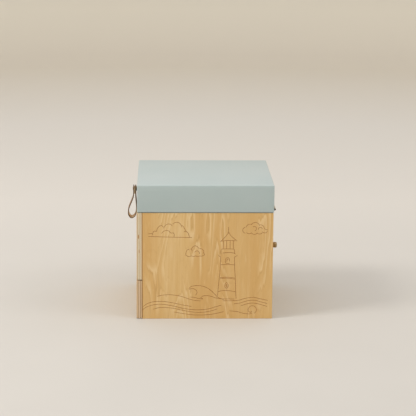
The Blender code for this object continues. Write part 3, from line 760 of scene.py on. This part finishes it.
def make_hinge_leaf(node, body, upward, brass):
    """A leaf with rounded corners and a turned knuckle or two."""
    low, high = (Vector(v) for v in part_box(node))
    pin = centre_of(node.replace("body_leaf", "pin").replace("lid_leaf", "pin"))
    plate_x = low.x
    middle_y = (low.y + high.y) / 2
    near, far = pin.z + upward * LEAF_START, pin.z + upward * LEAF_END
    shape = box_shape((plate_x, low.y, min(near, far)), (plate_x + LEAF, high.y, max(near, far)))
    corners = [e for e in shape.edges if abs(e.verts[0].co.x - e.verts[1].co.x) > 1e-5
               and abs(e.verts[0].co.z - far) < 1e-5]
    round_edges(shape, corners, LEAF_CORNER, 6)
    round_edges(shape, [e for e in shape.edges if e.is_manifold and e.calc_face_angle(0) > 1.2], 0.0002, 2)
    leaf = make_piece(node + "_plate", shape, [brass])
    half, inner, gap = (high.y - low.y) / 2, 0.007, 0.0003
    inset = 0.00005  # so that no two joined faces lie in one plane
    spans = [(-half + inset, -inner - gap), (inner + gap, half - inset)] if upward < 0 else [(-inner, inner)]
    reach = BARREL_RADIUS - 2 * inset if upward < 0 else 0.0
    for start, end in spans:
        outline = [(start, 0), (start, BARREL_RADIUS), (end, BARREL_RADIUS), (end, 0)]
        profile = rounded_profile(outline, 0.0003)
        tube = bmesh.new()
        points = [tube.verts.new((r, h, 0)) for h, r in profile]
        edges = [tube.edges.new(pair) for pair in zip(points, points[1:])]
        bmesh.ops.spin(tube, geom=points + edges, cent=(0, 0, 0), axis=(0, 1, 0), angle=math.tau, steps=48)
        bmesh.ops.remove_doubles(tube, verts=tube.verts, dist=0.000005)
        bmesh.ops.translate(tube, vec=(pin.x, middle_y, pin.z), verts=tube.verts)
        apply_boolean(leaf, make_piece("knuckle", tube, [brass]), "UNION")
        if upward < 0:
            web = box_shape((plate_x + 2 * inset, middle_y + start + 0.0003, pin.z - reach),
                            (pin.x, middle_y + end - 0.0003, pin.z - reach + LEAF))
            apply_boolean(leaf, make_piece("web", web, [brass]), "UNION")
            post = box_shape((plate_x + inset, middle_y + start + 0.0002, near - 0.001),
                             (plate_x + LEAF - inset, middle_y + end - 0.0002,
                              pin.z - reach + LEAF - inset))
        else:
            post = box_shape((plate_x + inset, middle_y + start + 0.0002, pin.z + 0.0002),
                             (plate_x + LEAF - inset, middle_y + end - 0.0002, near + 0.001))
        apply_boolean(leaf, make_piece("web", post, [brass]), "UNION")
    drop_slivers(leaf)
    leaf.data.shade_smooth()
    leaf.data.set_sharp_from_angle(angle=math.radians(35))
    return stand_for(leaf, body, "antique_brass", node)


def make_hinges(brass):
    for place in ("engraved", "plain"):
        make_hinge_leaf(f"hinge_body_leaf_{place}", "box", -1, brass)
        make_hinge_leaf(f"hinge_lid_leaf_{place}", "lid", 1, brass)
        for part, body in (("body", "box"), ("lid", "lid")):
            for number in (1, 2):
                node = f"hinge_{part}_screw_{place}_{number}"
                low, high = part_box(node)
                centre = centre_of(node)
                make_screw(node, body, (high[0] - 0.0010, centre.y, centre.z), high[0] - 0.0010 - low[0],
                           0.0013, 0.0026, 0.0010, -1, brass)


def make_loop_hardware(brass):
    """The flat-headed screw in front and the turned washer behind the leather."""
    low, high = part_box("loop_screw")
    centre = centre_of("loop_screw")
    head = low[0] + 0.0009
    make_screw("loop_screw", "lid", (head, centre.y, centre.z), high[0] - head, 0.0020, 0.0045, 0.0009, 1,
               brass, arms=1)
    low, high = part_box("loop_washer")
    length = high[0] - low[0]
    waist = [(0, 0.0021), (0, 0.0055), (length * 0.25, 0.0055), (length * 0.4, 0.0048),
             (length * 0.6, 0.0048), (length * 0.75, 0.0055), (length, 0.0055), (length, 0.0021)]
    profile = rounded_profile(waist) + [waist[0]]
    washer = turned_piece("washer_turned", profile, (low[0], centre.y, centre.z), brass, 1, 48)
    stand_for(washer, "lid", "antique_brass", "loop_washer")


def make_knob(brass):
    """The knob on the back: a foot, a slim neck and a flat-domed head with turned lines."""
    low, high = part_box("back_knob")
    centre = centre_of("back_knob")
    radius, length = (high[2] - low[2]) / 2, high[0] - low[0]
    profile = [(0, 0), (0, 0.0048), (0.0010, 0.0050), (0.0016, 0.0047), (0.0024, 0.0040), (0.0036, 0.0036),
               (0.0055, 0.0034), (0.0075, 0.0035), (0.0092, 0.0041), (0.0102, 0.0050),
               (0.0109, radius * 0.93), (0.0118, radius * 0.985), (0.0126, radius), (0.0133, radius),
               (0.0136, radius * 0.965), (0.0139, radius), (0.0158, radius), (0.0170, radius * 0.975),
               (0.0179, radius * 0.90), (length - 0.0005, radius * 0.72), (length - 0.0002, radius * 0.5),
               (length - 0.0004, radius * 0.44), (length - 0.0001, radius * 0.36), (length, 0)]
    knob = turned_piece("knob_turned", profile, (low[0], centre.y, centre.z), brass, 1, 72)
    stand_for(knob, "box", "antique_brass", "back_knob")
    low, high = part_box("back_knob_screw")
    make_screw("back_knob_screw", "box", (low[0] + 0.0018, centre.y, centre.z), high[0] - low[0] - 0.0018,
               0.0016, 0.0038, 0.0018, 1, brass)


# ---------------------------------------------------------------- surroundings

def make_stage():
    """A pale round sweep: a floor that curves up into a wall all round, past where any view stands."""
    nodes = Nodes("pale_sweep")
    x, y, _ = nodes.axes()
    away = nodes.calc("SQRT", nodes.calc("MULTIPLY_ADD", x, x, nodes.calc("MULTIPLY", y, y)))
    mottle = nodes.noise(nodes.place.outputs["Object"], scale=2.2, detail=2.0)
    floor = nodes.mix(nodes.ramp(mottle, 0.35, 0.65), shade(206, 207, 203), shade(209, 210, 206))
    # Painted light: paler behind the box and past 4.5 m out, where less lamp light reaches; the darker ring
    # from 2.6 to 4.3 m is painted shade.
    colour = nodes.mix(nodes.ramp(y, 0.12, 1.1), floor, shade(220, 220, 215))
    colour = nodes.mix(nodes.ramp(away, 2.6, 4.3), colour, shade(217, 213, 201))
    colour = nodes.mix(nodes.ramp(away, 4.5, 4.9), colour, shade(226, 223, 210))
    material = nodes.finish(colour, 0.85, normal=nodes.bump(mottle, 0.0005, 0.3))
    flat, radius, height, sides = 4.2, 1.2, 2.6, 96
    profile = [Vector((0, 0))] + arc(flat, radius, radius, -90, 0, 5) + [Vector((flat + radius, height))]
    shape = bmesh.new()
    points = [shape.verts.new((p.x, 0, p.y)) for p in profile]
    edges = [shape.edges.new(pair) for pair in zip(points, points[1:])]
    bmesh.ops.spin(shape, geom=points + edges, cent=(0, 0, 0), axis=(0, 0, 1), angle=math.tau, steps=sides)
    bmesh.ops.remove_doubles(shape, verts=shape.verts, dist=0.00001)
    sweep = make_piece("sweep", shape, [material], smooth=60)


def area_light(name, place, size, power, colour):
    """A square light that faces the box."""
    light = bpy.data.lights.new(name, "AREA")
    light.size = size
    light.energy = power
    light.color = colour
    lamp = bpy.data.objects.new(name, light)
    bpy.context.scene.collection.objects.link(lamp)
    lamp.location = place
    lamp.rotation_euler = (Vector((0, 0, 0.12)) - Vector(place)).to_track_quat("-Z", "Y").to_euler()


def make_lights():
    """Two soft windows, a strong one at the left and a weak one at the right, in a room warmer above."""
    warm = (1.0, 0.93, 0.88)
    area_light("window", (-2.75, -1.20, 2.75), 1.15, 57.0, warm)
    area_light("far_window", (2.75, -1.20, 2.75), 1.6, 20.0, warm)
    world = bpy.data.worlds.new("room")
    bpy.context.scene.world = world
    world.use_nodes = True
    tree = world.node_tree
    aim = tree.nodes.new("ShaderNodeTexCoord")
    axes = tree.nodes.new("ShaderNodeSeparateXYZ")
    tree.links.new(aim.outputs["Generated"], axes.inputs[0])
    glow = tree.nodes.new("ShaderNodeMath")
    glow.operation = "MULTIPLY_ADD"
    tree.links.new(axes.outputs[2], glow.inputs[0])
    glow.inputs[1].default_value = 0.44
    glow.inputs[2].default_value = 0.55
    tint = tree.nodes.new("ShaderNodeMix")
    tint.data_type = "RGBA"
    tree.links.new(axes.outputs[2], tint.inputs[0])
    tint.inputs[6].default_value = (1.0, 1.0, 1.0, 1.0)
    tint.inputs[7].default_value = (1.0, 0.90, 0.85, 1.0)
    background = tree.nodes["Background"]
    tree.links.new(tint.outputs[2], background.inputs["Color"])
    tree.links.new(glow.outputs[0], background.inputs["Strength"])
    bpy.context.scene.view_settings.view_transform = "Standard"


def make_camera():
    """The camera's axes are worked out from its pitch, yaw and roll."""
    pitch, yaw, roll = CAMERA_PITCH, CAMERA_YAW, CAMERA_ROLL
    ahead = Vector((-math.sin(yaw) * math.cos(pitch), math.cos(yaw) * math.cos(pitch), -math.sin(pitch)))
    level = Vector((math.cos(yaw), math.sin(yaw), 0))
    above = level.cross(ahead)
    right = math.cos(roll) * level + math.sin(roll) * above
    up = math.cos(roll) * above - math.sin(roll) * level
    data = bpy.data.cameras.new("camera")
    data.lens = CAMERA_LENS
    data.sensor_width = 36.0
    camera = bpy.data.objects.new("camera", data)
    bpy.context.scene.collection.objects.link(camera)
    turn = Matrix((right, up, -ahead)).transposed().to_4x4()
    camera.matrix_world = Matrix.Translation(CAMERA_PLACE) @ turn
    bpy.context.scene.camera = camera


def main():
    make_camera()
    make_lights()
    make_stage()
    brass = brass_material("antique_brass", shade(138, 110, 72), shade(172, 144, 104))
    hinge_brass = brass_material("hinge_brass", shade(150, 134, 104), shade(184, 168, 136), 0.95)
    edge = leather_material("leather_edge", shade(80, 60, 34), shade(102, 78, 46), 900.0, 0.5)
    grain = leather_material("leather_grain", shade(128, 92, 58), shade(150, 112, 72), 1100.0, 0.55)
    flesh = leather_material("leather_flesh", shade(226, 202, 168), shade(236, 216, 184), 1500.0, 0.85)
    # The filler's leather is the flesh colour darkened: painted shade between the strap's two ends.
    raw = leather_material("leather_flesh_painted_shade", shade(168, 142, 108), shade(188, 162, 128), 1500.0, 0.85)
    finish_boards()
    make_engraved_side()
    make_drawer_front()
    make_lid()
    make_loop(edge, grain, flesh)
    make_filler(raw)
    make_hinges(hinge_brass)
    make_loop_hardware(brass)
    make_knob(brass)
    rubber, dowel = rubber_material(), dowel_material()
    for name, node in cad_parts.items():
        if name.startswith("dowel"):
            node.material_slots[0].material = dowel
        elif name.startswith("lid_bumper"):
            node.material_slots[0].material = rubber
        elif name.startswith("hinge_pin"):
            node.material_slots[0].material = hinge_brass
        elif name == "loop_nut":
            node.material_slots[0].material = brass


main()
